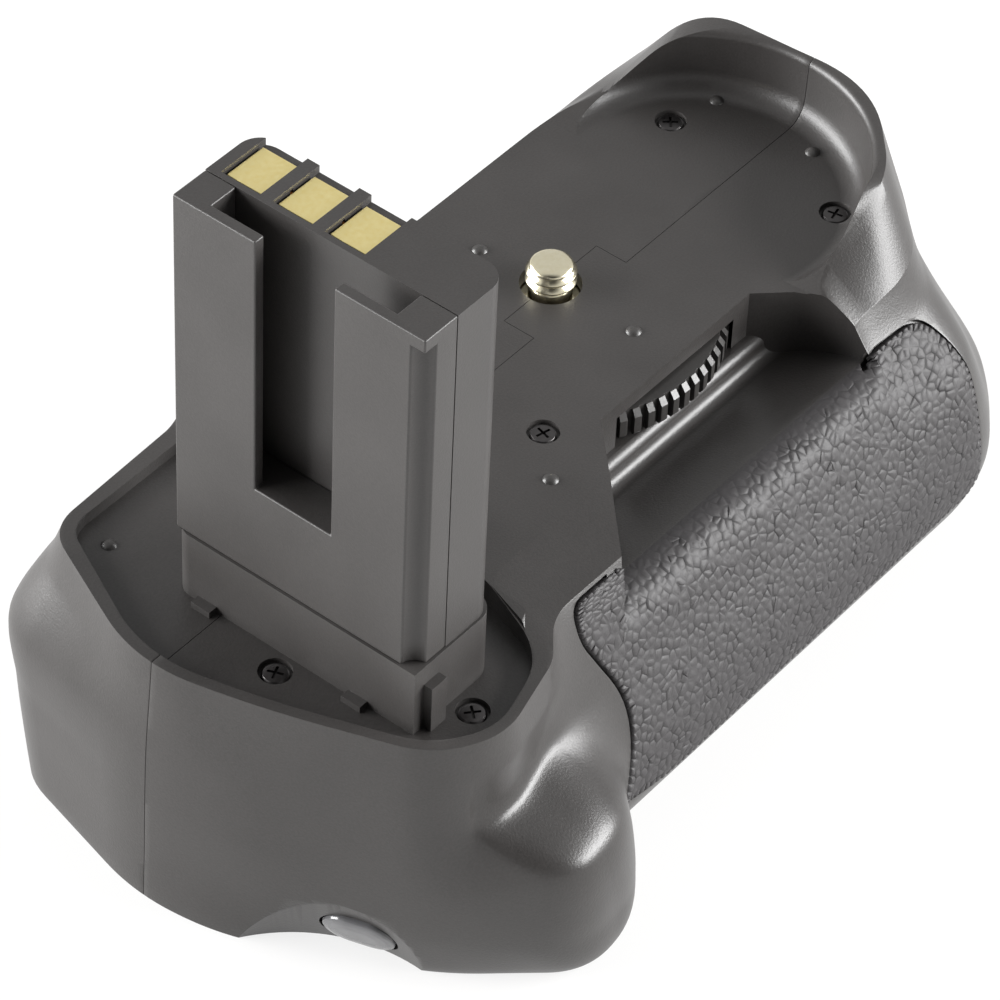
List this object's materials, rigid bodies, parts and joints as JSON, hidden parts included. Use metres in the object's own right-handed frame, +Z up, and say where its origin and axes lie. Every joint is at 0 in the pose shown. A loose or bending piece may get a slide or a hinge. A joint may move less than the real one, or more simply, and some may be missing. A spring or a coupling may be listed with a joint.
{
  "type": "camera battery grip",
  "caption": "Hand grip that screws under a camera body, with a battery-shaped contact stalk, a thumb wheel for its mounting screw, a shutter button and rear battery bays behind a latched door.",
  "frame": {"origin": "the camera screw's axis at the deck, where the camera's underside sits", "axes": "+X along the body to the end away from the stalk, +Y to the rear, +Z up along the camera screw"},
  "size_m": [0.1303, 0.0806, 0.0963],
  "materials": {
    "shell_plastic": "fine moulded texture, satin",
    "stalk_plastic": "fine moulded texture, satin",
    "tray_plastic": "plain moulded",
    "grip_rubber": "leather grain",
    "wheel_plastic": "semi gloss",
    "nub_plastic": "glossy",
    "button_plastic": "glossy grey",
    "latch_plastic": "satin",
    "switch_plastic": "plain",
    "dark_screw": "blackened",
    "steel_screw": "plated",
    "steel_plate": "pressed",
    "screw_steel": "bright, pale gold plating",
    "brass_bush": "turned",
    "gold_contact": "gold plated",
    "flex_film": "amber film",
    "board_laminate": "green lacquer"
  },
  "bodies": {
    "housing": {"front_shell": "shell_plastic", "rear_shell": "shell_plastic", "base_plate": "shell_plastic", "grip_pad": "grip_rubber", "deck_screws": "dark_screw", "deck_nubs": "nub_plastic", "base_screws": "steel_screw", "stalk_shell": "stalk_plastic", "stalk_cover": "stalk_plastic", "stalk_contacts": "gold_contact", "stalk_flex": "flex_film", "screw_bracket": "steel_plate", "screw_bush": "brass_bush", "bracket_screws": "steel_screw", "tripod_socket": "brass_bush", "battery_tray_near": "tray_plastic", "battery_tray_far": "tray_plastic", "tray_contacts_near": "gold_contact", "tray_contacts_far": "gold_contact", "door_pin": "steel_plate", "circuit_board": "board_laminate", "board_screws": "steel_screw", "button_guide": "tray_plastic", "button_switch": "switch_plastic"},
    "wheel": {"thumb_wheel": "wheel_plastic", "camera_screw": "screw_steel", "screw_clip": "steel_plate"},
    "button": {"shutter_button": "button_plastic"},
    "door": {"battery_door": "shell_plastic"},
    "latch": {"door_latch": "latch_plastic"}
  },
  "joints": [
    {"name": "camera_screw_spin", "type": "hinge", "parent": "housing", "child": "wheel", "pos_m": [0, 0, 0], "axis": [0, 0, 1], "continuous": true},
    {"name": "button_press", "type": "slide", "parent": "housing", "child": "button", "axis": [0.8787, 0.2972, 0.3737], "range_m": [0, 0.0012], "stiffness_N_per_m": 1200},
    {"name": "door_hinge", "type": "hinge", "parent": "housing", "child": "door", "pos_m": [0, 0.0249, -0.038], "axis": [-1, 0, 0], "range_deg": [0, 90]},
    {"name": "latch_slide", "type": "slide", "parent": "door", "child": "latch", "axis": [0, 0, -1], "range_m": [0, 0.0022], "stiffness_N_per_m": 300}
  ]
}
